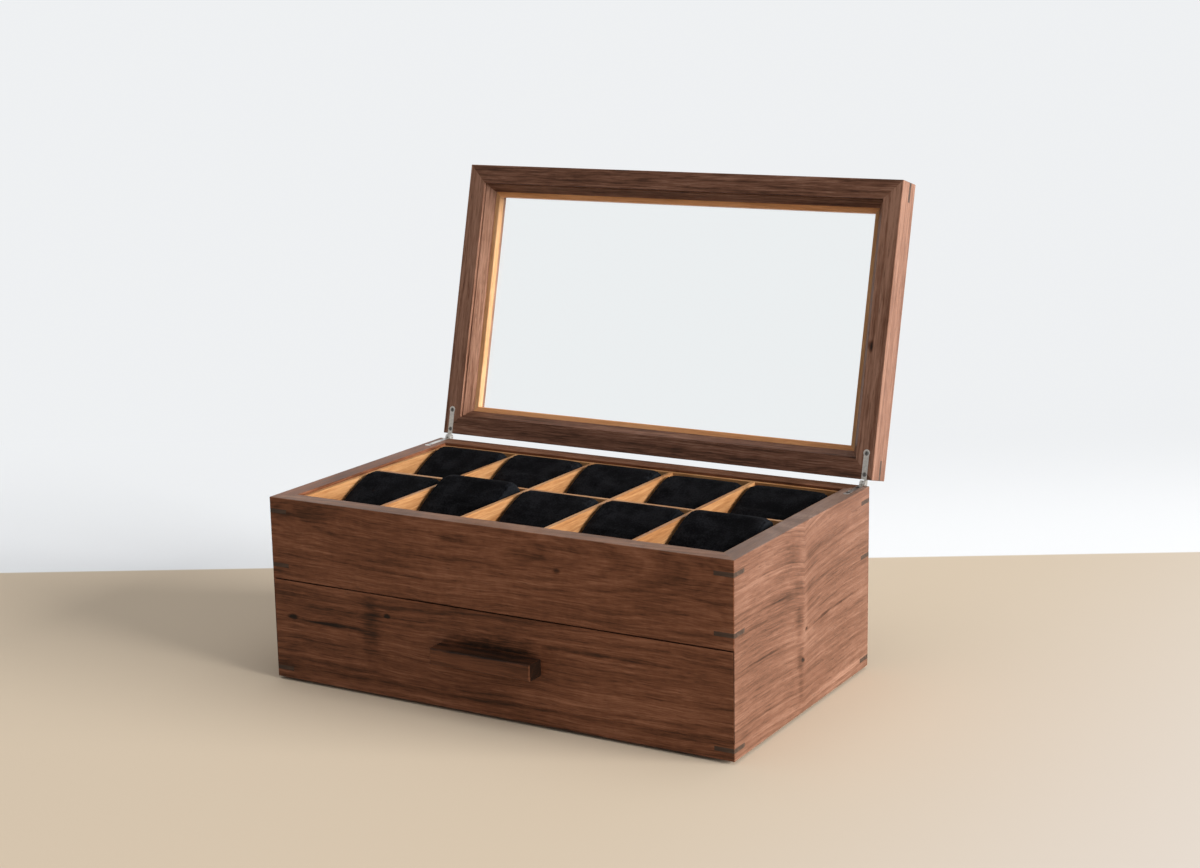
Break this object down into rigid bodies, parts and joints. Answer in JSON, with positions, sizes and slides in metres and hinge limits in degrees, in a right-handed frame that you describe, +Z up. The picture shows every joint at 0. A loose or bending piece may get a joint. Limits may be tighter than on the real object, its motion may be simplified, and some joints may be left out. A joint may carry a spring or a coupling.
{
  "type": "watch box with drawer",
  "caption": "Keyed walnut watch box: hinged glazed lid, tray of cells with lift-out suede watch pillows, and a full-width drawer below with a wooden pull.",
  "frame": {"origin": "centre of the base pad's underside, on the surface the box stands on", "axes": "+X along the box's width to the right as seen from the drawer side, +Y to the hinged back, +Z up"},
  "size_m": [0.356, 0.2986, 0.3359],
  "materials": {
    "walnut": "satin oiled",
    "dark_key_wood": "satin oiled",
    "cherry": "satin oiled",
    "pale_drawer_wood": "satin",
    "black_felt": "matt",
    "black_suede": "matt napped",
    "clear_glass": "clear",
    "nickel": "satin nickel",
    "zinc_screw": "zinc plated"
  },
  "bodies": {
    "box": {"side_panel_left": "walnut", "side_panel_right": "walnut", "back_panel": "walnut", "front_panel": "walnut", "front_rail": "walnut", "corner_keys_top": "dark_key_wood", "corner_keys_middle": "dark_key_wood", "corner_keys_bottom": "dark_key_wood", "liner_front": "cherry", "liner_right": "cherry", "liner_back": "cherry", "liner_left": "cherry", "long_divider": "cherry", "cross_divider_1": "cherry", "cross_divider_2": "cherry", "cross_divider_3": "cherry", "cross_divider_4": "cherry", "drawer_runner_left": "pale_drawer_wood", "drawer_runner_right": "pale_drawer_wood", "bottom_panel": "pale_drawer_wood", "tray_floor": "pale_drawer_wood", "base_pad": "black_felt", "hinge_case_leaf_left": "nickel", "hinge_case_leaf_right": "nickel", "hinge_pin_left": "nickel", "hinge_pin_right": "nickel", "hinge_case_screws": "nickel"},
    "lid": {"lid_rail_front": "walnut", "lid_rail_right": "walnut", "lid_rail_back": "walnut", "lid_rail_left": "walnut", "lid_keys": "dark_key_wood", "glass_bead_front": "cherry", "glass_bead_right": "cherry", "glass_bead_back": "cherry", "glass_bead_left": "cherry", "glass_pane": "clear_glass", "hinge_lid_leaf_left": "nickel", "hinge_lid_leaf_right": "nickel", "hinge_lid_screws": "nickel"},
    "drawer": {"drawer_front": "walnut", "drawer_pull": "walnut", "drawer_side_left": "pale_drawer_wood", "drawer_side_right": "pale_drawer_wood", "drawer_back": "pale_drawer_wood", "drawer_bottom": "pale_drawer_wood", "drawer_lining": "black_felt", "pull_screws": "zinc_screw"},
    "pillow_front_1_body": {"pillow_front_1": "black_suede"},
    "pillow_front_2_body": {"pillow_front_2": "black_suede"},
    "pillow_front_3_body": {"pillow_front_3": "black_suede"},
    "pillow_front_4_body": {"pillow_front_4": "black_suede"},
    "pillow_front_5_body": {"pillow_front_5": "black_suede"},
    "pillow_back_1_body": {"pillow_back_1": "black_suede"},
    "pillow_back_2_body": {"pillow_back_2": "black_suede"},
    "pillow_back_3_body": {"pillow_back_3": "black_suede"},
    "pillow_back_4_body": {"pillow_back_4": "black_suede"},
    "pillow_back_5_body": {"pillow_back_5": "black_suede"}
  },
  "joints": [
    {"name": "lid_hinge", "type": "hinge", "parent": "box", "child": "lid", "pos_m": [0, 0.107, 0.1313], "axis": [-1, 0, 0], "range_deg": [-104, 0]},
    {"name": "drawer_slide", "type": "slide", "parent": "box", "child": "drawer", "axis": [0, -1, 0], "range_m": [0, 0.15]},
    {"name": "pillow_front_1_lift", "type": "slide", "parent": "box", "child": "pillow_front_1_body", "axis": [0, 0, 1], "range_m": [0, 0.06]},
    {"name": "pillow_front_2_lift", "type": "slide", "parent": "box", "child": "pillow_front_2_body", "axis": [0, 0, 1], "range_m": [0, 0.06]},
    {"name": "pillow_front_3_lift", "type": "slide", "parent": "box", "child": "pillow_front_3_body", "axis": [0, 0, 1], "range_m": [0, 0.06]},
    {"name": "pillow_front_4_lift", "type": "slide", "parent": "box", "child": "pillow_front_4_body", "axis": [0, 0, 1], "range_m": [0, 0.06]},
    {"name": "pillow_front_5_lift", "type": "slide", "parent": "box", "child": "pillow_front_5_body", "axis": [0, 0, 1], "range_m": [0, 0.06]},
    {"name": "pillow_back_1_lift", "type": "slide", "parent": "box", "child": "pillow_back_1_body", "axis": [0, 0, 1], "range_m": [0, 0.06]},
    {"name": "pillow_back_2_lift", "type": "slide", "parent": "box", "child": "pillow_back_2_body", "axis": [0, 0, 1], "range_m": [0, 0.06]},
    {"name": "pillow_back_3_lift", "type": "slide", "parent": "box", "child": "pillow_back_3_body", "axis": [0, 0, 1], "range_m": [0, 0.06]},
    {"name": "pillow_back_4_lift", "type": "slide", "parent": "box", "child": "pillow_back_4_body", "axis": [0, 0, 1], "range_m": [0, 0.06]},
    {"name": "pillow_back_5_lift", "type": "slide", "parent": "box", "child": "pillow_back_5_body", "axis": [0, 0, 1], "range_m": [0, 0.06]}
  ]
}
